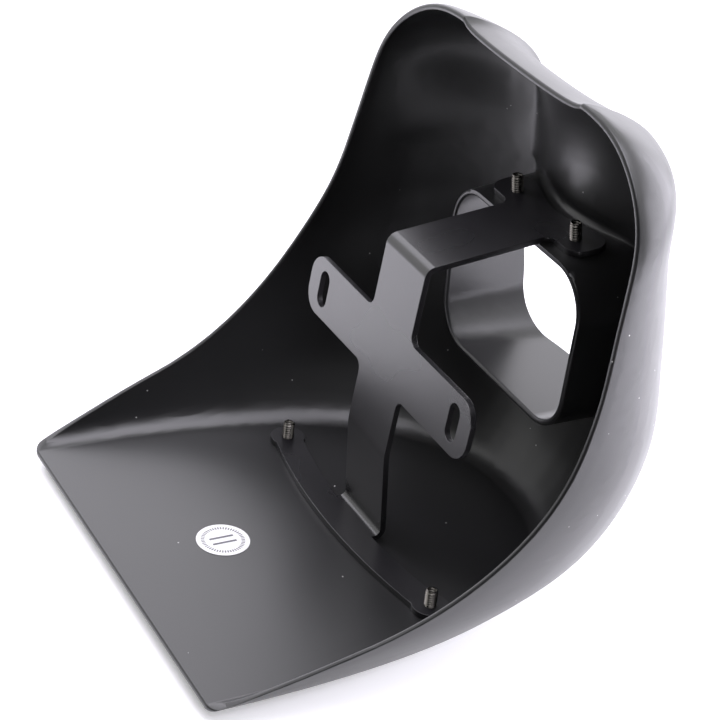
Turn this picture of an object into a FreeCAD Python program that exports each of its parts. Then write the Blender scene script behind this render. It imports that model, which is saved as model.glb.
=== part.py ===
import FreeCAD, Part
import math
import os
from FreeCAD import Vector

# Motorbike chin spoiler: a moulded skin, a folded mounting bracket and the screws that join them.
# Millimetres. X runs across the bike, Y forward, Z up. Pieces are drawn with the underside of the
# floor at z = 0, and then lifted to stand on the heads of the floor screws.

# Skin: rear edge, floor and widest part
WALL = 3.0
REAR_Y = -125.0
FLOOR_HALF_WIDTH = 106.0
FLOOR_FRONT_Y = 84.0
FLOOR_FULLNESS = 0.68
BEAM_HALF_WIDTH = 132.6
BEAM_HEIGHT = 92.0
BILGE_FULLNESS = 1.9

# Skin: nose, brow and shoulders
NOSE_Y = 123.5
NOSE_HEIGHT = 95.0
CHIN_FULLNESS = 1.9
NOSE_FULLNESS = 0.593
BROW_FULLNESS = 0.43
TOP_FULLNESS = 0.68
BROW_Y = 117.8
BROW_HEIGHT = 198.0
BROW_ROUNDING = 1.35
SHOULDER_HALF_WIDTH = 120.5
SHOULDER_HEIGHT = 185.0
TOP_HEIGHT = 241.0
TOP_HALF_WIDTH = 56.0
TOP_FRONT_Y = 59.5
SHOULDER_ROUNDING = 2.0

# Rim, seen from the side: two straight stretches joined by a sweep
RIM_REAR_ANGLE = 19.7
RIM_FRONT_ANGLE = 80.7
RIM_SWEEP_RADIUS = 150.0
RIM_TOP_Y = 58.5
REAR_CORNER_RADIUS = 9.0

# Valley down the brow, between two shoulders
VALLEY_DROP = 4.0
VALLEY_TOP_HALF_WIDTH = 53.0
VALLEY_FOOT_HALF_WIDTH = 52.0
VALLEY_FOOT_Y = 100.5
VALLEY_FOOT_HEIGHT = 165.0
VALLEY_START_HEIGHT = 120.0
VALLEY_ROUNDING = 2.4
VALLEY_TOP_FLATNESS = 0.95
VALLEY_FOOT_FLATNESS = 0.45
VALLEY_TOP_SHOULDER = 2.0
VALLEY_FOOT_SHOULDER = 9.0
VALLEY_BACK_SLOPE = 6.0

# Air mouth: a duct from the nose back to a rounded hole
SHELF_DEPTH = 27.5
HOLE_Y = VALLEY_FOOT_Y - WALL - SHELF_DEPTH
HOLE_BOTTOM_Z = 71.5
HOLE_TOP_HALF_WIDTH = 57.5
HOLE_BOTTOM_HALF_WIDTH = 53.5
HOLE_CORNER_RADIUS = 20.0
MOUTH_Y = 145.0
MOUTH_BOTTOM_Z = 69.0
MOUTH_TOP_HALF_WIDTH = 66.0
MOUTH_BOTTOM_HALF_WIDTH = 52.0
MOUTH_CORNER_RADIUS = 27.0
SHELF_Z = 155.0
SHELF_TILT = 7.8

# Bracket: folded sheet
SHEET = 3.0
BRACKET_HALF_WIDTH = 19.0
FOOT_Y = 4.0
KNEE_Y = 0.7
KNEE_Z = 51.0
UPRIGHT_LEAN = 5.9
BEND_RADIUS = 3.0
KNEE_RADIUS = 25.0

# Bracket: cross arms and their slots, measured up the upright from the knee
ARM_HALF_SPAN = 80.5
ARM_LOW = 31.2
ARM_HIGH = 61.3
ARM_CORNER_RADIUS = 11.0
ARM_INNER_RADIUS = 5.0
ARM_PLATE_OVERLAP = 12.0
SLOT_HALF_SPACING = 66.0
SLOT_WIDTH = 9.0
SLOT_LENGTH = 18.8

# Bracket: foot strap on the floor and flange on the shelf
FLOOR_SCREW_HALF_SPACING = 77.5
STRAP_WIDTH = 14.5
STRAP_SWEEP = 8.5
STRAP_END_RADIUS = 9.0
FLANGE_WALL_GAP = 0.5
FLANGE_DEPTH = 21.0
FLANGE_NOTCH_DEPTH = 8.0
FLANGE_HALF_WIDTH = 40.0
FLANGE_TIP_HALF_WIDTH = 29.0
FLANGE_CORNER_RADIUS = 8.5
FLANGE_NECK_RADIUS = 5.0
FLANGE_NOTCH_RADIUS = 40.0
SHELF_SCREW_HALF_SPACING = 26.7
SHELF_SCREW_SETBACK = 12.0
FLANGE_TIP_Y = VALLEY_FOOT_Y - WALL - FLANGE_WALL_GAP
FLANGE_BACK_Y = FLANGE_TIP_Y - FLANGE_DEPTH
FLANGE_NOTCH_Y = FLANGE_TIP_Y - FLANGE_NOTCH_DEPTH
SHELF_SCREW_Y = FLANGE_TIP_Y - SHELF_SCREW_SETBACK

# Screws and washers
THREAD_DIAMETER = 6.0
SCREW_LENGTH = 16.0
HEAD_DIAMETER = 10.5
HEAD_HEIGHT = 3.3
HEAD_CROWN_RADIUS = 6.5
HEAD_FLAT_DIAMETER = 5.6
SOCKET_SIDES = 6
SOCKET_FLATS = 4.0
SOCKET_DEPTH = 2.0
THREAD_CHAMFER = 0.8
TIP_CUP_DIAMETER = 3.2
TIP_CUP_FLOOR_DIAMETER = 1.6
TIP_CUP_DEPTH = 1.2
SKIN_HOLE_DIAMETER = 6.5
TAPPED_HOLE_CLEARANCE = 0.1
WASHER_DIAMETER = 12.0
WASHER_THICKNESS = 1.6
WASHER_HOLE_DIAMETER = 6.4

# Label on the floor
LABEL_DIAMETER = 26.0
LABEL_THICKNESS = 0.25
LABEL_X = -5.0
LABEL_Y = -68.5

# How the skin is drawn: number of plan sections, and how far they run on behind the rim
SECTION_COUNT = 16
OPEN_REACH = 40.0
POINT_TOLERANCE = 1e-6
CURVE_TOLERANCE = 1e-9

X_AXIS = Vector(1, 0, 0)
Z_AXIS = Vector(0, 0, 1)


def rounded_wire(points, radii):
    """Closed wire through the points, each corner rounded with its own radius, 0 for a sharp one."""
    count = len(points)
    entries = []
    exits = []
    arcs = []
    for i in range(count):
        corner = points[i]
        back = (points[i - 1] - corner).normalize()
        ahead = (points[(i + 1) % count] - corner).normalize()
        half_angle = back.getAngle(ahead) / 2
        if not radii[i]:
            entries.append(corner)
            exits.append(corner)
            arcs.append(None)
            continue
        tangent_length = radii[i] / math.tan(half_angle)
        bisector = (back + ahead).normalize()
        middle = corner + bisector * (radii[i] / math.sin(half_angle) - radii[i])
        entries.append(corner + back * tangent_length)
        exits.append(corner + ahead * tangent_length)
        arcs.append(Part.Arc(entries[i], middle, exits[i]).toShape())
    edges = []
    for i in range(count):
        if arcs[i]:
            edges.append(arcs[i])
        start = exits[i]
        end = entries[(i + 1) % count]
        if start.distanceToPoint(end) > POINT_TOLERANCE:
            edges.append(Part.makeLine(start, end))
    return Part.Wire(edges)


def plate(points, radii, thickness):
    """Flat plate with a rounded outline, extruded along its own Z."""
    return Part.Face(rounded_wire(points, radii)).extrude(Z_AXIS * thickness)


def hull_reach(z, inset, base, beam, beam_z, fullness, brow, brow_z, rounding, top):
    """Distance from the axis to the skin at one height: bilge, straight taper, rounded top."""
    if z <= beam_z:
        rise = (z - inset) / (beam_z - inset)
        return base + (beam - inset - base) * (1 - (1 - rise) ** fullness) ** (1 / fullness)
    if z <= brow_z:
        return beam - inset + (brow - beam) * (z - beam_z) / (brow_z - beam_z)
    rise = min(1, (z - brow_z) / (TOP_HEIGHT - inset - brow_z))
    return top + (brow - inset - top) * (1 - rise ** 2) ** (1 / rounding)


def side_reach(z, inset):
    """Half the width of the skin at one height."""
    return hull_reach(z, inset, FLOOR_HALF_WIDTH, BEAM_HALF_WIDTH, BEAM_HEIGHT, BILGE_FULLNESS,
                      SHOULDER_HALF_WIDTH, SHOULDER_HEIGHT, SHOULDER_ROUNDING, TOP_HALF_WIDTH)


def nose_reach(z, inset):
    """Y of the middle of the nose at one height, as it would be without the valley."""
    return hull_reach(z, inset, FLOOR_FRONT_Y, NOSE_Y, NOSE_HEIGHT, CHIN_FULLNESS,
                      BROW_Y, BROW_HEIGHT, BROW_ROUNDING, TOP_FRONT_Y)


def valley_y(z, inset):
    """Y of the valley's middle at one height, from its upright foot back over the rim."""
    top = TOP_HEIGHT - VALLEY_DROP - inset
    if z > top:
        return RIM_TOP_Y - (z - top) * VALLEY_BACK_SLOPE
    rise = max(0, z - VALLEY_FOOT_HEIGHT) / (top - VALLEY_FOOT_HEIGHT)
    return RIM_TOP_Y + (VALLEY_FOOT_Y - inset - RIM_TOP_Y) * (1 - rise ** 2) ** (1 / VALLEY_ROUNDING)


def plan_fullness(z):
    """How square the plan of the skin is at one height."""
    stages = ((0, FLOOR_FULLNESS), (NOSE_HEIGHT, NOSE_FULLNESS), (BROW_HEIGHT, BROW_FULLNESS),
              (TOP_HEIGHT, TOP_FULLNESS))
    for (low, start), (high, end) in zip(stages, stages[1:]):
        if z <= high:
            return start + (end - start) * (z - low) / (high - low)
    return TOP_FULLNESS


def rim_corner():
    """Y and Z where the rim's rear slope and front slope would meet."""
    rear = math.tan(math.radians(RIM_REAR_ANGLE))
    front = math.tan(math.radians(RIM_FRONT_ANGLE))
    y = (TOP_HEIGHT - WALL + REAR_Y * rear - RIM_TOP_Y * front) / (rear - front)
    return y, WALL + (y - REAR_Y) * rear


def rim_y(z):
    """Y of the rim at one height, along its rear slope, sweep and front slope."""
    rear = math.radians(RIM_REAR_ANGLE)
    front = math.radians(RIM_FRONT_ANGLE)
    corner_y, corner_z = rim_corner()
    tangent = RIM_SWEEP_RADIUS * math.tan((front - rear) / 2)
    sweep_start_y = corner_y - tangent * math.cos(rear)
    sweep_start_z = corner_z - tangent * math.sin(rear)
    sweep_end_z = corner_z + tangent * math.sin(front)
    if z <= WALL:
        return REAR_Y
    if z <= sweep_start_z:
        return REAR_Y + (z - WALL) / math.tan(rear)
    if z <= sweep_end_z:
        centre_y = sweep_start_y - RIM_SWEEP_RADIUS * math.sin(rear)
        centre_z = sweep_start_z + RIM_SWEEP_RADIUS * math.cos(rear)
        return centre_y + math.sqrt(RIM_SWEEP_RADIUS ** 2 - (z - centre_z) ** 2)
    return RIM_TOP_Y + (z - TOP_HEIGHT) / math.tan(front)


def bezier_point(poles, t):
    """Point on a cubic curve."""
    a, b, c, d = poles
    s = 1 - t
    return a * s ** 3 + b * 3 * s * s * t + c * 3 * s * t * t + d * t ** 3


def split_bezier(poles, t):
    """The two cubic curves that a cubic curve falls into at t."""
    a, b, c, d = poles
    ab = a + (b - a) * t
    bc = b + (c - b) * t
    cd = c + (d - c) * t
    abc = ab + (bc - ab) * t
    bcd = bc + (cd - bc) * t
    middle = abc + (bcd - abc) * t
    return [a, ab, abc, middle], [middle, bcd, cd, d]


def bezier_at_x(poles, x):
    """Where a curve that runs in towards the axis reaches x."""
    low = 0.0
    high = 1.0
    while high - low > CURVE_TOLERANCE:
        middle = (low + high) / 2
        if bezier_point(poles, middle).x > x:
            low = middle
        else:
            high = middle
    return low


def up_valley(z, foot, top):
    """Value that runs from foot to top between the valley's foot and the rim."""
    climb = max(0, (z - VALLEY_FOOT_HEIGHT) / (TOP_HEIGHT - VALLEY_FOOT_HEIGHT))
    return foot + (top - foot) * climb


def valley_depth(z):
    """Share of its full depth that the valley has at one height, eased in below its foot."""
    rise = (z - VALLEY_START_HEIGHT) / (VALLEY_FOOT_HEIGHT - VALLEY_START_HEIGHT)
    rise = min(1, max(0, rise))
    return (1 - math.cos(math.pi * rise)) / 2


def half_section(z, inset):
    """Right half of the plan at one height: a flank up to the shoulder, then half the valley."""
    side = side_reach(z, inset)
    nose = nose_reach(z, inset)
    rim = rim_y(z)
    fullness = plan_fullness(z)
    poles = [Vector(side, rim, z), Vector(side, rim + fullness * (nose - rim), z),
             Vector(fullness * side, nose, z), Vector(0, nose, z)]
    shoulder_x = up_valley(z, VALLEY_FOOT_HALF_WIDTH, VALLEY_TOP_HALF_WIDTH)
    flank, smooth = split_bezier(poles, bezier_at_x(poles, shoulder_x))
    flat_x = shoulder_x * up_valley(z, VALLEY_FOOT_FLATNESS, VALLEY_TOP_FLATNESS)
    lead = (smooth[1] - smooth[0]).normalize() * up_valley(z, VALLEY_FOOT_SHOULDER, VALLEY_TOP_SHOULDER)
    middle_y = valley_y(z, inset)
    sunk = [smooth[0], smooth[0] + lead, Vector(flat_x, middle_y, z), Vector(0, middle_y, z)]
    depth = valley_depth(z)
    return [flank, [a + (b - a) * depth for a, b in zip(smooth, sunk)]]


def hull_section(z, inset, reach):
    """Whole plan of the skin at one height, run straight back behind the rim by reach."""
    right = half_section(z, inset)
    left = [[Vector(-p.x, p.y, z) for p in poles[::-1]] for poles in right[::-1]]
    edges = []
    for poles in right + left:
        curve = Part.BezierCurve()
        curve.setPoles(poles)
        edges.append(curve.toShape())
    start = right[0][0]
    back = start.y - reach
    corners = [Vector(-start.x, start.y, z), Vector(-start.x, back, z), Vector(start.x, back, z), start]
    edges += [Part.makeLine(a, b) for a, b in zip(corners, corners[1:])]
    return Part.Wire(edges)


def hull(inset, reach):
    """Closed body inside the skin's outer face, set in by inset and run on behind the rim by reach."""
    sections = []
    for i in range(SECTION_COUNT + 1):
        share = (1 - math.cos(math.pi * i / SECTION_COUNT)) / 2
        z = inset + (TOP_HEIGHT - 2 * inset) * share
        sections.append(hull_section(z, inset, reach))
    return Part.makeLoft(sections, True, False)


def rim_block():
    """Block across the whole skin that keeps what lies in front of the rim."""
    spread = BEAM_HALF_WIDTH + WALL
    corner_y, corner_z = rim_corner()
    rise = WALL / math.tan(math.radians(RIM_FRONT_ANGLE))
    ceiling = TOP_HEIGHT + WALL
    corners = ((REAR_Y, -WALL), (REAR_Y, WALL), (corner_y, corner_z), (RIM_TOP_Y + rise, ceiling),
               (MOUTH_Y, ceiling), (MOUTH_Y, -WALL))
    outline = [Vector(-spread, y, z) for y, z in corners]
    radii = [0, 0, RIM_SWEEP_RADIUS, 0, 0, 0]
    return Part.Face(rounded_wire(outline, radii)).extrude(X_AXIS * 2 * spread)


def rear_corner_block():
    """Block round the whole skin whose two rear corners round off the rear edge."""
    corner = side_reach(WALL, 0)
    spread = 2 * BEAM_HALF_WIDTH
    outline = [Vector(-corner, REAR_Y, -WALL), Vector(corner, REAR_Y, -WALL),
               Vector(spread, MOUTH_Y, -WALL), Vector(-spread, MOUTH_Y, -WALL)]
    radii = [REAR_CORNER_RADIUS, REAR_CORNER_RADIUS, 0, 0]
    return plate(outline, radii, TOP_HEIGHT + 2 * WALL)


def duct(grow):
    """Passage from the hole forward through the nose, grown by the wall for its outer side."""
    tilt = math.tan(math.radians(SHELF_TILT))
    wires = []
    for y, low, bottom, top, radius in (
            (HOLE_Y, HOLE_BOTTOM_Z, HOLE_BOTTOM_HALF_WIDTH, HOLE_TOP_HALF_WIDTH, HOLE_CORNER_RADIUS),
            (MOUTH_Y, MOUTH_BOTTOM_Z, MOUTH_BOTTOM_HALF_WIDTH, MOUTH_TOP_HALF_WIDTH, MOUTH_CORNER_RADIUS)):
        high = SHELF_Z + (y - HOLE_Y) * tilt - WALL + grow
        corners = [Vector(-bottom - grow, y, low - grow), Vector(bottom + grow, y, low - grow),
                   Vector(top + grow, y, high), Vector(-top - grow, y, high)]
        wires.append(rounded_wire(corners, [radius + grow] * len(corners)))
    return Part.makeLoft(wires, True, True)


def on_shelf(shape):
    """Moves a shape drawn with y along the bar and z = 0 on the shelf on to the tilted shelf."""
    placed = shape.copy()
    placed.translate(Vector(0, -HOLE_Y, 0))
    placed.rotate(Vector(0, 0, 0), X_AXIS, SHELF_TILT)
    placed.translate(Vector(0, HOLE_Y, SHELF_Z))
    return placed


def at_screws(shape):
    """Copies of a shape, drawn with its screw axis on Z and its seat at z = 0, at the four screws."""
    copies = []
    for side in (-1, 1):
        low = shape.copy()
        low.translate(Vector(side * FLOOR_SCREW_HALF_SPACING, 0, 0))
        high = shape.copy()
        high.translate(Vector(side * SHELF_SCREW_HALF_SPACING, SHELF_SCREW_Y, -WALL))
        copies += [low, on_shelf(high)]
    return copies


def hole(diameter):
    """Drill along a screw axis, long enough for skin and sheet."""
    length = WALL + SHEET + SCREW_LENGTH
    return Part.makeCylinder(diameter / 2, length, Vector(0, 0, -length / 2))


# Skin with its valley, air mouth and screw holes
outer = hull(0, OPEN_REACH)
inner = hull(WALL, OPEN_REACH + WALL)
passage = duct(0)
duct_wall = duct(WALL).cut(passage).common(outer)
skin = outer.cut(inner).cut(passage).fuse(duct_wall)
skin = skin.common(rim_block()).common(rear_corner_block())
skin = skin.cut(Part.makeCompound(at_screws(hole(SKIN_HOLE_DIAMETER))))

# Bracket: the strip that is folded up from the foot and over on to the shelf
lean = math.radians(UPRIGHT_LEAN)
tilt = math.radians(SHELF_TILT)
bar_rise = math.tan(tilt)
bar_z_at_zero = SHELF_Z - HOLE_Y * bar_rise + SHEET / math.cos(tilt)
top_y = (bar_z_at_zero - KNEE_Z + KNEE_Y / math.tan(lean)) / (1 / math.tan(lean) - bar_rise)
foot_z = WALL + SHEET
path = [(FOOT_Y - STRAP_WIDTH / 2, foot_z), (FOOT_Y, foot_z), (KNEE_Y, KNEE_Z),
        (top_y, bar_z_at_zero + top_y * bar_rise),
        (FLANGE_BACK_Y, bar_z_at_zero + FLANGE_BACK_Y * bar_rise)]


def far_side(points):
    """The other face of the strip: every stretch moved to its right by the sheet thickness."""
    moved = []
    for (y0, z0), (y1, z1) in zip(points, points[1:]):
        length = math.hypot(y1 - y0, z1 - z0)
        shift = ((z1 - z0) / length * SHEET, -(y1 - y0) / length * SHEET)
        moved.append(((y0 + shift[0], z0 + shift[1]), (y1 + shift[0], z1 + shift[1])))
    result = [moved[0][0]]
    for (a, b), (c, d) in zip(moved, moved[1:]):
        run = (b[0] - a[0], b[1] - a[1])
        cross = (d[0] - c[0], d[1] - c[1])
        turn = run[0] * cross[1] - run[1] * cross[0]
        share = ((c[0] - a[0]) * cross[1] - (c[1] - a[1]) * cross[0]) / turn
        result.append((a[0] + share * run[0], a[1] + share * run[1]))
    return result + [moved[-1][1]]


profile = [Vector(-BRACKET_HALF_WIDTH, y, z) for y, z in path + far_side(path)[::-1]]
fold_radii = [0, BEND_RADIUS, KNEE_RADIUS, BEND_RADIUS + SHEET, 0]
strip = Part.Face(rounded_wire(profile, fold_radii * 2)).extrude(X_AXIS * 2 * BRACKET_HALF_WIDTH)

# Bracket: cross arms in the plane of the upright, with a slot near each end
arm_low = ARM_LOW - ARM_PLATE_OVERLAP
arm_high = ARM_HIGH + ARM_PLATE_OVERLAP
right_side = [(BRACKET_HALF_WIDTH, arm_low), (BRACKET_HALF_WIDTH, ARM_LOW), (ARM_HALF_SPAN, ARM_LOW),
              (ARM_HALF_SPAN, ARM_HIGH), (BRACKET_HALF_WIDTH, ARM_HIGH), (BRACKET_HALF_WIDTH, arm_high)]
cross_points = [Vector(x, v, 0) for x, v in right_side] + [Vector(-x, v, 0) for x, v in right_side[::-1]]
cross_radii = [0, ARM_INNER_RADIUS, ARM_CORNER_RADIUS, ARM_CORNER_RADIUS, ARM_INNER_RADIUS, 0] * 2
cross = plate(cross_points, cross_radii, SHEET)
slot_half = SLOT_WIDTH / 2
slot_low = (ARM_LOW + ARM_HIGH - SLOT_LENGTH + SLOT_WIDTH) / 2
slot_high = (ARM_LOW + ARM_HIGH + SLOT_LENGTH - SLOT_WIDTH) / 2
for side in (-1, 1):
    x = side * SLOT_HALF_SPACING
    slot = Part.makeBox(SLOT_WIDTH, slot_high - slot_low, SHEET, Vector(x - slot_half, slot_low, 0))
    for v in (slot_low, slot_high):
        slot = slot.fuse(Part.makeCylinder(slot_half, SHEET, Vector(x, v, 0)))
    cross = cross.cut(slot)
cross.rotate(Vector(0, 0, 0), X_AXIS, 90 - UPRIGHT_LEAN)
cross.translate(Vector(0, KNEE_Y, KNEE_Z) + Vector(0, math.cos(lean), -math.sin(lean)) * SHEET)

# Bracket: swept strap on the floor, with a round lobe at each screw
strap_radius = (FLOOR_SCREW_HALF_SPACING ** 2 + STRAP_SWEEP ** 2) / (2 * STRAP_SWEEP)
strap_centre = Vector(0, strap_radius - STRAP_SWEEP, WALL)
ring = Part.makeCylinder(strap_radius + STRAP_WIDTH / 2, SHEET, strap_centre)
ring = ring.cut(Part.makeCylinder(strap_radius - STRAP_WIDTH / 2, SHEET, strap_centre))
window = Part.makeBox(2 * FLOOR_SCREW_HALF_SPACING, 2 * STRAP_WIDTH + STRAP_SWEEP, SHEET,
                      Vector(-FLOOR_SCREW_HALF_SPACING, -STRAP_SWEEP - STRAP_WIDTH, WALL))
strap = ring.common(window)
for side in (-1, 1):
    lobe_centre = Vector(side * FLOOR_SCREW_HALF_SPACING, 0, WALL)
    strap = strap.fuse(Part.makeCylinder(STRAP_END_RADIUS, SHEET, lobe_centre))

# Bracket: flange on the shelf, a lobe round each screw and a hollow front edge
neck_y = FLANGE_BACK_Y - FLANGE_CORNER_RADIUS
half_flange = [(BRACKET_HALF_WIDTH, neck_y), (BRACKET_HALF_WIDTH, FLANGE_BACK_Y),
               (FLANGE_HALF_WIDTH, FLANGE_BACK_Y), (FLANGE_HALF_WIDTH, FLANGE_TIP_Y),
               (FLANGE_TIP_HALF_WIDTH, FLANGE_TIP_Y)]
flange_points = [Vector(x, y, 0) for x, y in half_flange] + [Vector(0, FLANGE_NOTCH_Y, 0)]
flange_points += [Vector(-x, y, 0) for x, y in half_flange[::-1]]
half_radii = [0, FLANGE_NECK_RADIUS, FLANGE_CORNER_RADIUS, FLANGE_CORNER_RADIUS, BEND_RADIUS]
flange = on_shelf(plate(flange_points, half_radii + [FLANGE_NOTCH_RADIUS] + half_radii[::-1], SHEET))

tapped = hole(THREAD_DIAMETER + TAPPED_HOLE_CLEARANCE)
bracket = strip.multiFuse([cross, strap, flange])
bracket = bracket.cut(Part.makeCompound(at_screws(tapped))).removeSplitter()

# Screws: button heads outside, on washers, with the threaded ends standing up inside
seat = -WASHER_THICKNESS
thread_radius = THREAD_DIAMETER / 2
shank = Part.makeCylinder(thread_radius, SCREW_LENGTH, Vector(0, 0, seat))
tip_edge = [e for e in shank.Edges if e.BoundBox.ZMin > 0]
shank = shank.makeChamfer(THREAD_CHAMFER, tip_edge)
tip_z = seat + SCREW_LENGTH
cup_floor = Vector(0, 0, tip_z - TIP_CUP_DEPTH)
cup = Part.makeCone(TIP_CUP_FLOOR_DIAMETER / 2, TIP_CUP_DIAMETER / 2, TIP_CUP_DEPTH, cup_floor)
head = Part.makeCylinder(HEAD_DIAMETER / 2, HEAD_HEIGHT, Vector(0, 0, seat - HEAD_HEIGHT))
dome_rise = math.sqrt(HEAD_CROWN_RADIUS ** 2 - (HEAD_FLAT_DIAMETER / 2) ** 2)
dome = Part.makeSphere(HEAD_CROWN_RADIUS, Vector(0, 0, seat - HEAD_HEIGHT + dome_rise))
head = head.common(dome)
side_angle = 2 * math.pi / SOCKET_SIDES
socket_radius = SOCKET_FLATS / 2 / math.cos(side_angle / 2)
socket_points = [Vector(math.cos(side_angle * i), math.sin(side_angle * i), 0) * socket_radius
                 for i in range(SOCKET_SIDES)]
socket = plate(socket_points, [0] * len(socket_points), SOCKET_DEPTH)
socket.translate(Vector(0, 0, seat - HEAD_HEIGHT))
screw = head.fuse(shank).cut(cup).cut(socket).removeSplitter()
screws = Part.makeCompound(at_screws(screw))

washer = Part.makeCylinder(WASHER_DIAMETER / 2, WASHER_THICKNESS, Vector(0, 0, seat))
washer = washer.cut(Part.makeCylinder(WASHER_HOLE_DIAMETER / 2, WASHER_THICKNESS, Vector(0, 0, seat)))
washers = Part.makeCompound(at_screws(washer))

# Blank round label stuck to the floor
label = Part.makeCylinder(LABEL_DIAMETER / 2, LABEL_THICKNESS, Vector(LABEL_X, LABEL_Y, WALL))

# The finished part stands on the heads of its floor screws, centred in plan
plan = skin.optimalBoundingBox()
stand = Vector(0, -(plan.YMin + plan.YMax) / 2, WASHER_THICKNESS + HEAD_HEIGHT)
os.makedirs("parts", exist_ok=True)
for name, shape in (("spoiler_skin", skin), ("mounting_bracket", bracket), ("button_screws", screws),
                    ("washers", washers), ("floor_label", label)):
    shape.translate(stand)
    shape.exportStep("parts/" + name + ".step")
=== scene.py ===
import math

import bmesh
import bpy
from mathutils import Matrix, Vector


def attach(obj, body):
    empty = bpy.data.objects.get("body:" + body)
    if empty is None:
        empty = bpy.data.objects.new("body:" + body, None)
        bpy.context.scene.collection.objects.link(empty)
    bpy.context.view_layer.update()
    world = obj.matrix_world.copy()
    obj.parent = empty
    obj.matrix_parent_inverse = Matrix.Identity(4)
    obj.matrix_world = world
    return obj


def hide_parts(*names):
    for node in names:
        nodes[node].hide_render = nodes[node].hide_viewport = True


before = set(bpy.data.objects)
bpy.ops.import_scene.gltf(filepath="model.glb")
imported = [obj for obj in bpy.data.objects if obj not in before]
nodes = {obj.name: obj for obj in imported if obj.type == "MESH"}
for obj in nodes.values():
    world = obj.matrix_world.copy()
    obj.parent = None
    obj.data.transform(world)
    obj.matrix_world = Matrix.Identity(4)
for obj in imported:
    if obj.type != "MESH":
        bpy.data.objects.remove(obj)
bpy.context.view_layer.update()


# Moulded skin
# The spoiler's body is one moulding in black plastic, with a fine satin grain on both faces.
# It is as it left the mould, apart from scattered specks of white dust.
SKIN_BLACK = (0.011, 0.011, 0.0115, 1)
SKIN_WORN_BLACK = (0.015, 0.015, 0.0155, 1)
SKIN_IOR = 1.65
SKIN_GRAIN_SCALE = 1700
SKIN_GRAIN_HEIGHT = 0.00006
SKIN_GRAIN_STRENGTH = 0.35
SKIN_CLOUD_SCALE = 14
SKIN_ROUGHNESS = (0.29, 0.35)
DUST_WHITE = (0.45, 0.45, 0.43, 1)
DUST_SCALE = 75
DUST_RADIUS = 0.028
MERGE_GAP = 0.000001
SHARP_ANGLE = math.radians(40)
SLIVER_AREA = 0.0000001
TAIL_LINE = -0.118
RIM_SKEW = 0.05
RIM_RISE = 0.0009
RIM_BULGE = 0.3
RIM_RUN_OUT = 0.05
RIM_STEPS = 8
LIP_RADIUS = 0.0013
LIP_STEPS = 4
LIP_LOW = Vector((-0.075, 0.06, 0.06))
LIP_HIGH = Vector((0.075, 0.085, 0.158))
FILLET_RADIUS = 0.0045
FILLET_STEPS = 6
FILLET_HALF_WIDTH = 0.05
SHELF_LEVEL = 0.155
FRONT_LINE = 0.08
FACING_BACK = -0.5
FACING_FULLY_BACK = -0.7
VALLEY_SIDE = 0.05
VALLEY_BLEND = 0.014
VALLEY_PASSES = 25
VALLEY_SHARE = 0.5


def new_material(name):
    """An empty principled material, with its node tree, shader and object coordinates."""
    material = bpy.data.materials.new(name)
    material.use_nodes = True
    tree = material.node_tree
    shader = tree.nodes["Principled BSDF"]
    place = tree.nodes.new("ShaderNodeTexCoord")
    return material, tree, shader, place.outputs["Object"]


def noise(tree, place, scale, detail):
    """Noise over the object's own coordinates."""
    texture = tree.nodes.new("ShaderNodeTexNoise")
    texture.inputs["Scale"].default_value = scale
    texture.inputs["Detail"].default_value = detail
    tree.links.new(place, texture.inputs["Vector"])
    return texture.outputs["Fac"]


def blend_colours(tree, factor, first, second):
    """Colour that runs from the first to the second; either is a colour or another node's output."""
    mix = tree.nodes.new("ShaderNodeMix")
    mix.data_type = "RGBA"
    tree.links.new(factor, mix.inputs["Factor"])
    for socket, colour in ((mix.inputs["A"], first), (mix.inputs["B"], second)):
        if isinstance(colour, tuple):
            socket.default_value = colour
        else:
            tree.links.new(colour, socket)
    return mix.outputs["Result"]


def spread(tree, factor, low, high):
    """Factor from 0 to 1 stretched to run from low to high."""
    span = tree.nodes.new("ShaderNodeMapRange")
    span.inputs["To Min"].default_value = low
    span.inputs["To Max"].default_value = high
    tree.links.new(factor, span.inputs["Value"])
    return span.outputs["Result"]


def roughen(tree, shader, height, depth, strength):
    """Surface grain of the given real depth."""
    bump = tree.nodes.new("ShaderNodeBump")
    bump.inputs["Strength"].default_value = strength
    bump.inputs["Distance"].default_value = depth
    tree.links.new(height, bump.inputs["Height"])
    tree.links.new(bump.outputs["Normal"], shader.inputs["Normal"])


def dust(tree, place, scale, radius):
    """1 on small scattered specks and 0 elsewhere."""
    cells = tree.nodes.new("ShaderNodeTexVoronoi")
    cells.inputs["Scale"].default_value = scale
    tree.links.new(place, cells.inputs["Vector"])
    speck = tree.nodes.new("ShaderNodeMath")
    speck.operation = "LESS_THAN"
    speck.inputs[1].default_value = radius
    tree.links.new(cells.outputs["Distance"], speck.inputs[0])
    return speck.outputs["Value"]


def dress(piece, material):
    """Gives a piece its material."""
    piece.data.materials.clear()
    piece.data.materials.append(material)


def merged_copy(node):
    """A node's triangles in an editable mesh, joined where their corners meet."""
    bm = bmesh.new()
    bm.from_mesh(node.data)
    bmesh.ops.remove_doubles(bm, verts=bm.verts, dist=MERGE_GAP)
    return bm


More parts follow.
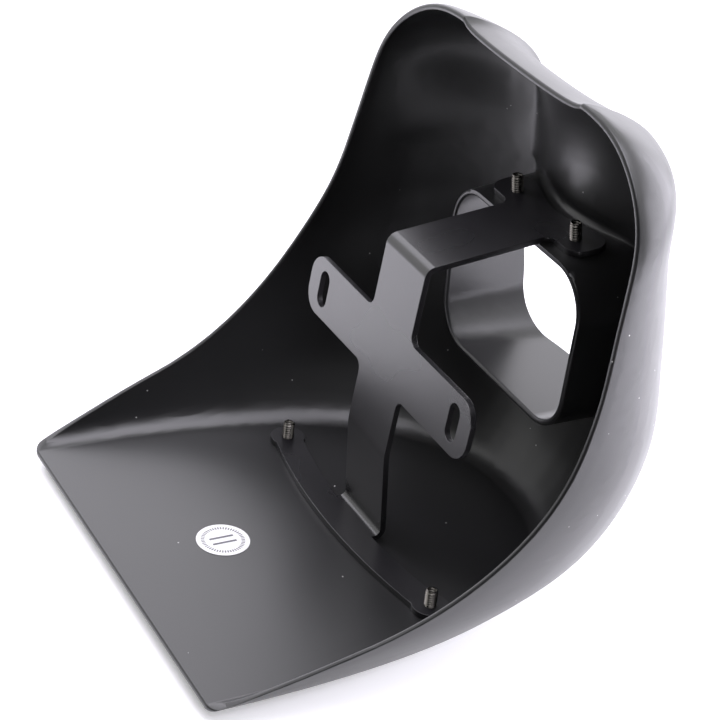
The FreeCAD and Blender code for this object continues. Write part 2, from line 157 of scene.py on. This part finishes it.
def rim_band(bm):
    """The faces of the skin's cut edge, walked from the tail and the brow, and the edges that join them."""
    likely = set()
    for face in bm.faces:
        skew = face.normal.z if face.calc_center_median().y < TAIL_LINE else face.normal.x
        if face.normal.y < -RIM_SKEW and abs(skew) < RIM_SKEW and face.calc_area() > SLIVER_AREA:
            likely.add(face)
    joins = {e for f in likely for e in f.edges
             if likely.issuperset(e.link_faces) and e.calc_face_angle(0) < SHARP_ANGLE}
    tail = min(likely, key=lambda f: f.calc_center_median().y)
    brow = max(likely, key=lambda f: f.calc_center_median().z)
    band = set()
    fresh = [tail, brow]
    while fresh:
        face = fresh.pop()
        band.add(face)
        fresh += [f for e in face.edges if e in joins for f in e.link_faces if f not in band]
    return [f for f in bm.faces if f in band and len(joins.intersection(f.edges)) == 2], joins


def round_rim(bm):
    """Gives the skin's cut edge an oval section, which runs out beside the tail's corners."""
    band, joins = rim_band(bm)
    banded = set(band)
    bends = [math.pi * step / RIM_STEPS for step in range(1, RIM_STEPS)]
    rows = {}
    for edge in [e for e in bm.edges if e in joins and banded.intersection(e.link_faces)]:
        near, far = edge.verts
        rise = min(RIM_RISE, RIM_BULGE * edge.calc_length()) if banded.issuperset(edge.link_faces) else 0
        past_tail = (near.co.y + far.co.y) / 2 - TAIL_LINE
        if past_tail > 0:
            rise *= min(1, past_tail / RIM_RUN_OUT)
        out = sum((f.normal for f in edge.link_faces), Vector()).normalized() * rise
        arc = [near.co.lerp(far.co, (1 - math.cos(bend)) / 2) + out * math.sin(bend) for bend in bends]
        middle = [bm.verts.new(point) for point in arc]
        rows[near, far] = [near, *middle, far]
        rows[far, near] = [far, *reversed(middle), near]
    for face in band:
        corners = list(face.verts)
        for apex, left, right in zip(corners, corners[1:] + corners[:1], corners[2:] + corners[:2]):
            if (apex, left) in rows and (apex, right) in rows:
                first, second = rows[apex, left], rows[apex, right]
                bm.faces.new((apex, first[1], second[1]))
                for step in range(1, RIM_STEPS):
                    bm.faces.new((first[step], first[step + 1], second[step + 1], second[step]))
    bmesh.ops.delete(bm, geom=band, context="FACES")


def ease_edges(bm, edges, radius, steps, clamp):
    """Rounds edges by a small radius."""
    bmesh.ops.bevel(bm, geom=edges, affect="EDGES", offset=radius, segments=steps, profile=0.5,
                    clamp_overlap=clamp, material=-1)


def shade(bm):
    """Shades a mesh smooth, but for its sharp edges."""
    for face in bm.faces:
        face.smooth = True
    for edge in bm.edges:
        edge.smooth = edge.calc_face_angle(0) < SHARP_ANGLE


def add_piece(name, bm, node_name):
    """Puts a finished mesh in the scene in place of the node that it stands for."""
    mesh = bpy.data.meshes.new(name)
    bm.to_mesh(mesh)
    bm.free()
    piece = bpy.data.objects.new(name, mesh)
    bpy.context.scene.collection.objects.link(piece)
    even = piece.modifiers.new("even_flats", "WEIGHTED_NORMAL")
    even.keep_sharp = True
    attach(piece, "root")
    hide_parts(node_name)
    return piece


def shelf_fillet(bm):
    """The rounded inner corner where the shelf meets the wall in front of it."""
    corner = {v for e in bm.edges if e.calc_face_angle_signed(0) < -SHARP_ANGLE for v in e.verts
              if v.co.z > SHELF_LEVEL and v.co.y > FRONT_LINE and abs(v.co.x) < FILLET_HALF_WIDTH}
    strip = bmesh.new()
    rows = []
    for vert in sorted(corner, key=lambda v: v.co.x):
        walls = [f.normal for f in vert.link_faces if f.normal.y < FACING_FULLY_BACK]
        shelves = [f.normal for f in vert.link_faces if f.normal.y > FACING_BACK and f.normal.z > 0]
        if not walls or not shelves:
            continue
        wall = sum(walls, Vector()).normalized()
        shelf = sum(shelves, Vector()).normalized()
        radius = FILLET_RADIUS * math.sqrt(1 - (vert.co.x / FILLET_HALF_WIDTH) ** 2)
        centre = vert.co + (wall + shelf) * radius / (1 + wall.dot(shelf))
        arc = [centre - radius * shelf.slerp(wall, step / FILLET_STEPS) for step in range(FILLET_STEPS + 1)]
        rows.append([strip.verts.new(point) for point in (vert.co - (wall + shelf) * MERGE_GAP, *arc)])
    for left, right in zip(rows, rows[1:]):
        for near, far in zip(range(len(left)), (*range(1, len(left)), 0)):
            strip.faces.new((left[near], right[near], right[far], left[far]))
    for end in (rows[0], rows[-1]):
        strip.faces.new(end)
    bmesh.ops.recalc_face_normals(strip, faces=strip.faces)
    return strip


def blend_valley_sides(bm):
    """Eases the inner face where the valley's bulge runs out into the wall on either side."""
    bm.normal_update()
    sides = [v for v in bm.verts if v.normal.y < FACING_BACK and v.co.y > FRONT_LINE
             and v.co.z > SHELF_LEVEL + VALLEY_BLEND and abs(abs(v.co.x) - VALLEY_SIDE) < VALLEY_BLEND]
    for _ in range(VALLEY_PASSES):
        bmesh.ops.smooth_vert(bm, verts=sides, factor=VALLEY_SHARE,
                              use_axis_x=True, use_axis_y=True, use_axis_z=True)


def join_in(bm, other):
    """Adds another mesh to this one as separate faces."""
    carrier = bpy.data.meshes.new("carrier")
    other.to_mesh(carrier)
    other.free()
    bm.from_mesh(carrier)
    bpy.data.meshes.remove(carrier)


satin_plastic, tree, shader, place = new_material("satin black plastic")
clouds = noise(tree, place, SKIN_CLOUD_SCALE, detail=3)
black = blend_colours(tree, clouds, SKIN_BLACK, SKIN_WORN_BLACK)
dusty = blend_colours(tree, dust(tree, place, DUST_SCALE, DUST_RADIUS), black, DUST_WHITE)
tree.links.new(dusty, shader.inputs["Base Color"])
shader.inputs["IOR"].default_value = SKIN_IOR
tree.links.new(spread(tree, clouds, *SKIN_ROUGHNESS), shader.inputs["Roughness"])
grain = noise(tree, place, SKIN_GRAIN_SCALE, detail=2)
roughen(tree, shader, grain, SKIN_GRAIN_HEIGHT, SKIN_GRAIN_STRENGTH)

bm = merged_copy(nodes["spoiler_skin"])
fillet = shelf_fillet(bm)
blend_valley_sides(bm)
round_rim(bm)
lip = [e for e in bm.edges if e.calc_face_angle_signed(0) > SHARP_ANGLE
       and all(low < c < high for v in e.verts for low, c, high in zip(LIP_LOW, v.co, LIP_HIGH))]
ease_edges(bm, lip, LIP_RADIUS, LIP_STEPS, clamp=False)
join_in(bm, fillet)
shade(bm)
dress(add_piece("moulded_skin", bm, "spoiler_skin"), satin_plastic)


# Mounting bracket
# A blank of sheet steel folded to a foot, an upright with two slotted arms and a bar to the shelf.
# It is powder coated black, a little smoother than the skin.
COAT_BLACK = (0.010, 0.010, 0.011, 1)
COAT_PALE_BLACK = (0.014, 0.013, 0.015, 1)
COAT_PEEL_SCALE = 900
COAT_PEEL_HEIGHT = 0.00005
COAT_PEEL_STRENGTH = 0.3
COAT_PATCH_SCALE = 14
COAT_ROUGHNESS = (0.25, 0.31)
COAT_IOR = 1.8
FLAT_ANGLE = math.radians(0.5)
BRACKET_EDGE_RADIUS = 0.0004
BRACKET_EDGE_STEPS = 2

powder_coat, tree, shader, place = new_material("black powder coat")
patches = noise(tree, place, COAT_PATCH_SCALE, detail=2)
tree.links.new(blend_colours(tree, patches, COAT_BLACK, COAT_PALE_BLACK), shader.inputs["Base Color"])
tree.links.new(spread(tree, patches, *COAT_ROUGHNESS), shader.inputs["Roughness"])
peel = noise(tree, place, COAT_PEEL_SCALE, detail=1)
roughen(tree, shader, peel, COAT_PEEL_HEIGHT, COAT_PEEL_STRENGTH)
shader.inputs["IOR"].default_value = COAT_IOR

bm = merged_copy(nodes["mounting_bracket"])
bmesh.ops.dissolve_limit(bm, angle_limit=FLAT_ANGLE, verts=bm.verts, edges=bm.edges)
cut_edges = [e for e in bm.edges if e.calc_face_angle(0) > SHARP_ANGLE]
ease_edges(bm, cut_edges, BRACKET_EDGE_RADIUS, BRACKET_EDGE_STEPS, clamp=True)
shade(bm)
dress(add_piece("folded_bracket", bm, "mounting_bracket"), powder_coat)


# Button screws
# Four M6 steel screws hold the bracket, two through the floor and two through the shelf.
# Their heads are outside, and their rolled threads stand up inside with a cupped end.
SCREW_GREY = (0.35, 0.33, 0.31, 1)
SCREW_DARK = (0.12, 0.11, 0.1, 1)
SCREW_STAIN_SCALE = 300
SCREW_ROUGHNESS = (0.2, 0.4)
THREAD_CREST = 0.003
THREAD_CORE = 0.0023
THREAD_PITCH = 0.00125
THREAD_STEPS = 40
THREAD_START = 0.0045
TIP_CHAMFER = 0.0007
CUP_RIM = 0.0005
CUP_DEPTH = 0.0012
SHELF_TILT = math.radians(7.8)
FLOOR_SCREW = Vector((0.0775, 0.001568, 0.0049))
SHELF_SCREW = Vector((0.0267, 0.086836, 0.15896))
SCREW_REACH = 0.0144
SCREW_PARTING = 0.1


def cut_across(bm, point, way):
    """Cuts off a mesh past a plane and closes it there; gives the new end's faces."""
    cut = bmesh.ops.bisect_plane(bm, geom=bm.verts[:] + bm.edges[:] + bm.faces[:],
                                 plane_co=point, plane_no=way, clear_outer=True)
    rim = [e for e in cut["geom_cut"] if isinstance(e, bmesh.types.BMEdge)]
    return bmesh.ops.holes_fill(bm, edges=rim)["faces"]


def threaded_end(start, tip):
    """A rod with a helical thread up +Z from a start to a tip, with a chamfer and a cup in its end."""
    bm = bmesh.new()
    row = []
    for turn in range(int(tip / THREAD_PITCH) + 2):
        row.append(bm.verts.new((THREAD_CORE, 0, (turn - 1) * THREAD_PITCH)))
        row.append(bm.verts.new((THREAD_CREST, 0, (turn - 0.5) * THREAD_PITCH)))
    flanks = [bm.edges.new(pair) for pair in zip(row, row[1:])]
    bmesh.ops.spin(bm, geom=row + flanks, cent=(0, 0, 0), axis=(0, 0, 1), angle=2 * math.pi,
                   dvec=(0, 0, THREAD_PITCH / THREAD_STEPS), steps=THREAD_STEPS, use_merge=False)
    bmesh.ops.remove_doubles(bm, verts=bm.verts, dist=MERGE_GAP)
    for vert in bm.verts:
        reach = vert.co.xy.length
        allowed = min(reach, THREAD_CREST - max(0, vert.co.z - tip + TIP_CHAMFER))
        vert.co.xy *= allowed / reach
    end = cut_across(bm, (0, 0, tip), (0, 0, 1))
    bmesh.ops.recalc_face_normals(bm, faces=bm.faces)
    bmesh.ops.inset_individual(bm, faces=end, thickness=CUP_RIM, depth=-CUP_DEPTH)
    cut_across(bm, (0, 0, start), (0, 0, -1))
    bmesh.ops.recalc_face_normals(bm, faces=bm.faces)
    return bm


def screw_pair(low, high, foot, tilt):
    """The node's two screws between two heights, with the bare shank past the bracket made a thread."""
    bm = merged_copy(nodes["button_screws"])
    others = [v for v in bm.verts if not low < v.co.z < high]
    bmesh.ops.delete(bm, geom=others, context="VERTS")
    lean = Matrix.Rotation(tilt, 4, "X")
    axis = lean @ Vector((0, 0, 1))
    cut_across(bm, foot + axis * THREAD_START, axis)
    for side in (-1, 1):
        end = threaded_end(THREAD_START - THREAD_PITCH, SCREW_REACH)
        end.transform(Matrix.Translation((side * foot.x, foot.y, foot.z)) @ lean)
        join_in(bm, end)
    return bm


bare_steel, tree, shader, place = new_material("bare screw steel")
stains = noise(tree, place, SCREW_STAIN_SCALE, detail=3)
tree.links.new(blend_colours(tree, stains, SCREW_DARK, SCREW_GREY), shader.inputs["Base Color"])
tree.links.new(spread(tree, stains, *SCREW_ROUGHNESS), shader.inputs["Roughness"])
shader.inputs["Metallic"].default_value = 1

bm = screw_pair(-math.inf, SCREW_PARTING, FLOOR_SCREW, 0)
join_in(bm, screw_pair(SCREW_PARTING, math.inf, SHELF_SCREW, SHELF_TILT))
shade(bm)
dress(add_piece("threaded_screws", bm, "button_screws"), bare_steel)


# Washers
# A plain zinc plated washer lies under each screw head, against the outside of the skin.
# They are stamped from sheet and tumbled smooth.
ZINC_GREY = (0.5, 0.5, 0.5, 1)
ZINC_BLUE = (0.42, 0.45, 0.5, 1)
ZINC_FLOW_SCALE = 200
ZINC_ROUGHNESS = (0.25, 0.4)

zinc, tree, shader, place = new_material("zinc plate")
flow = noise(tree, place, ZINC_FLOW_SCALE, detail=2)
tree.links.new(blend_colours(tree, flow, ZINC_GREY, ZINC_BLUE), shader.inputs["Base Color"])
tree.links.new(spread(tree, flow, *ZINC_ROUGHNESS), shader.inputs["Roughness"])
shader.inputs["Metallic"].default_value = 1
dress(nodes["washers"], zinc)


# Floor label
# A round label of white film is stuck to the floor behind the bracket.
# It has a ring of plain ticks and two bars, printed in grey.
LABEL_WHITE = (0.88, 0.88, 0.87, 1)
LABEL_GREY = (0.8, 0.8, 0.79, 1)
LABEL_INK = (0.12, 0.12, 0.13, 1)
LABEL_FIBRE_SCALE = 500
LABEL_ROUGHNESS = (0.4, 0.55)
LABEL_CENTRE = (-0.005, -0.066932, 0.00815)
TICK_COUNT = 48
TICK_RING = 0.0098
TICK_HALF_LENGTH = 0.0009
BAR_RISE = 0.0022
BAR_HALF_HEIGHT = 0.0007
BAR_HALF_LENGTH = 0.0062


def sum_up(tree, operation, *values):
    """One step of arithmetic on node outputs or plain numbers."""
    step = tree.nodes.new("ShaderNodeMath")
    step.operation = operation
    for socket, value in zip(step.inputs, values):
        if isinstance(value, (int, float)):
            socket.default_value = value
        else:
            tree.links.new(value, socket)
    return step.outputs["Value"]


label_film, tree, shader, place = new_material("white label film")
centred = tree.nodes.new("ShaderNodeMapping")
centred.inputs["Location"].default_value = [-c for c in LABEL_CENTRE]
tree.links.new(place, centred.inputs["Vector"])
parts = tree.nodes.new("ShaderNodeSeparateXYZ")
tree.links.new(centred.outputs["Vector"], parts.inputs["Vector"])
across, along = parts.outputs["X"], parts.outputs["Y"]
squares = sum_up(tree, "ADD", sum_up(tree, "POWER", across, 2), sum_up(tree, "POWER", along, 2))
turn = sum_up(tree, "MULTIPLY", sum_up(tree, "ARCTAN2", across, along), TICK_COUNT)
tick_side = sum_up(tree, "GREATER_THAN", sum_up(tree, "SINE", turn), 0)
tick_reach = sum_up(tree, "COMPARE", sum_up(tree, "SQRT", squares), TICK_RING, TICK_HALF_LENGTH)
ticks = sum_up(tree, "MULTIPLY", tick_side, tick_reach)
bar_side = sum_up(tree, "COMPARE", sum_up(tree, "ABSOLUTE", across), BAR_RISE, BAR_HALF_HEIGHT)
bars = sum_up(tree, "MULTIPLY", bar_side, sum_up(tree, "COMPARE", along, 0, BAR_HALF_LENGTH))
print_marks = sum_up(tree, "MAXIMUM", ticks, bars)
fibres = noise(tree, place, LABEL_FIBRE_SCALE, detail=3)
film = blend_colours(tree, fibres, LABEL_WHITE, LABEL_GREY)
tree.links.new(blend_colours(tree, print_marks, film, LABEL_INK), shader.inputs["Base Color"])
tree.links.new(spread(tree, fibres, *LABEL_ROUGHNESS), shader.inputs["Roughness"])
dress(nodes["floor_label"], label_film)


# Studio floor and surroundings
# A wide sheet of white paper lies under the part and takes its shadow, in a white room.
# Black cards on the right, behind the camera and on the paper are painted shade seen only in reflections:
# they darken what the part reflects there, so its inside stays dark.
FLOOR_SIZE = 6
PAPER_WHITE = (0.85, 0.85, 0.85, 1)
PAPER_ROUGHNESS = 0.9
PAPER_GLOW = 0.25
GLOW_WHITE = (1, 1, 1, 1)
ROOM_WHITE = 1
ROOM_LIGHT = 0.4
SHADE_CARD_BLACK = (0.01, 0.01, 0.01, 1)
# Each shade card's name, width, length, place, turn in degrees and the axis it turns about. The card on the
# paper is painted shade for the darker paper behind the part.
SHADE_CARDS = (("right_card", 2.2, 2.6, (1.4, -0.3, 1.1), 90, "Y"),
         ("rear_card", 2.2, 2.2, (0.4, -1.4, 1.1), 90, "X"),
         ("paper_shade_card", 1.2, 0.8, (0.42, -0.57, 0.0005), 0, "X"))


def seen_directly(tree, direct, soft):
    """A level for what the camera, gloss and glass show, and another for soft light."""
    path = tree.nodes.new("ShaderNodeLightPath")
    seen = path.outputs["Is Camera Ray"]
    for kind in ("Is Glossy Ray", "Is Transmission Ray"):
        either = tree.nodes.new("ShaderNodeMath")
        either.operation = "MAXIMUM"
        tree.links.new(seen, either.inputs[0])
        tree.links.new(path.outputs[kind], either.inputs[1])
        seen = either.outputs["Value"]
    return spread(tree, seen, soft, direct)


def sheet(name, width, length, place, turn, axis):
    """A flat sheet of the stage, turned about one axis and put in its place."""
    bm = bmesh.new()
    bmesh.ops.create_grid(bm, x_segments=1, y_segments=1, size=0.5)
    bm.transform(Matrix.Translation(place) @ Matrix.Rotation(math.radians(turn), 4, axis)
                 @ Matrix.Diagonal((width, length, 1, 1)))
    mesh = bpy.data.meshes.new(name)
    bm.to_mesh(mesh)
    bm.free()
    stage_sheet = bpy.data.objects.new(name, mesh)
    bpy.context.scene.collection.objects.link(stage_sheet)
    return stage_sheet


paper, tree, shader, place = new_material("white paper")
shader.inputs["Base Color"].default_value = PAPER_WHITE
shader.inputs["Roughness"].default_value = PAPER_ROUGHNESS
shader.inputs["Emission Color"].default_value = GLOW_WHITE
tree.links.new(seen_directly(tree, PAPER_GLOW, 0), shader.inputs["Emission Strength"])
sheet("paper_floor", FLOOR_SIZE, FLOOR_SIZE, (0, 0, 0), 0, "X").data.materials.append(paper)

room = bpy.data.worlds.new("white room")
bpy.context.scene.world = room
room.use_nodes = True
tree = room.node_tree
background = tree.nodes["Background"]
background.inputs["Color"].default_value = GLOW_WHITE
tree.links.new(seen_directly(tree, ROOM_WHITE, ROOM_LIGHT), background.inputs["Strength"])

# Matte black for the shade cards, which paint shade into reflections only: the dark room behind the camera
# and the shaded paper behind the part.
shade_card, tree, shader, place = new_material("painted shade card")
shader.inputs["Base Color"].default_value = SHADE_CARD_BLACK
shader.inputs["Roughness"].default_value = 1
shader.inputs["Specular IOR Level"].default_value = 0
for shade_card_sizes in SHADE_CARDS:
    card = sheet(*shade_card_sizes)
    card.data.materials.append(shade_card)
    # Hidden from the camera, soft light and shadows, so each card only darkens reflections as painted
    # shade.
    card.visible_camera = False
    card.visible_diffuse = False
    card.visible_shadow = False


# Soft lamps
# Wide soft boxes hang over the part and stand on its left and in front, for long soft highlights.
# Two small ones light the paper on its left and right, and don't show in the gloss.
LAMP_TINT = (1, 0.97, 1.09)
# Each box's name, place, aim, width, height, level, and whether it shows in the gloss.
SOFT_BOXES = (("top_box", (0.1, 0.25, 1.4), (0, 0, 0), 1.0, 1.0, 3.4, True),
              ("left_box", (-1.05, 0.1, 0.7), (0, 0.1, 0.5), 1.0, 1.3, 1.45, True),
              ("corner_box", (-0.85, 0.95, 0.4), (0, 0, 0.4), 0.9, 0.7, 1.5, True),
              ("front_box", (0.15, 1.2, 0.5), (0.15, 0, 0.4), 1.2, 1.0, 3, True),
              ("left_paper_box", (-0.6, -0.2, 0.45), (-0.25, -0.16, 0), 0.4, 0.4, 10, False),
              ("right_paper_box", (0.5, 0.6, 0.4), (0.17, 0.25, 0), 0.4, 0.4, 18, False))


def soft_box(name, place, aim, width, height, level, in_gloss):
    """An area lamp of a given brightness, turned from its place towards a point."""
    lamp = bpy.data.lights.new(name, "AREA")
    lamp.shape = "RECTANGLE"
    lamp.size = width
    lamp.size_y = height
    lamp.color = LAMP_TINT
    lamp.energy = level * math.pi * width * height
    lamp_object = bpy.data.objects.new(name, lamp)
    turn = (Vector(aim) - Vector(place)).to_track_quat("-Z", "Y")
    lamp_object.matrix_world = Matrix.Translation(place) @ turn.to_matrix().to_4x4()
    lamp_object.visible_camera = False
    lamp_object.visible_glossy = in_gloss
    bpy.context.scene.collection.objects.link(lamp_object)


for box_sizes in SOFT_BOXES:
    soft_box(*box_sizes)


# Camera
# A long lens behind the part on its right looks down into it, held a little askew.
# Turn, drop and roll are in degrees.
LENS_MM = 109.2
SENSOR_MM = 36
CAMERA_PLACE = (0.77259, -0.45495, 0.60184)
CAMERA_TURN = 59.83
CAMERA_DROP = 29.31
CAMERA_ROLL = 6.59

camera = bpy.data.cameras.new("camera")
camera.lens = LENS_MM
camera.sensor_width = SENSOR_MM
camera_object = bpy.data.objects.new("camera", camera)
camera_object.matrix_world = (Matrix.Translation(CAMERA_PLACE)
                              @ Matrix.Rotation(math.radians(CAMERA_TURN), 4, "Z")
                              @ Matrix.Rotation(math.radians(90 - CAMERA_DROP), 4, "X")
                              @ Matrix.Rotation(math.radians(CAMERA_ROLL), 4, "Z"))
bpy.context.scene.collection.objects.link(camera_object)
bpy.context.scene.camera = camera_object
bpy.context.scene.view_settings.view_transform = "Standard"
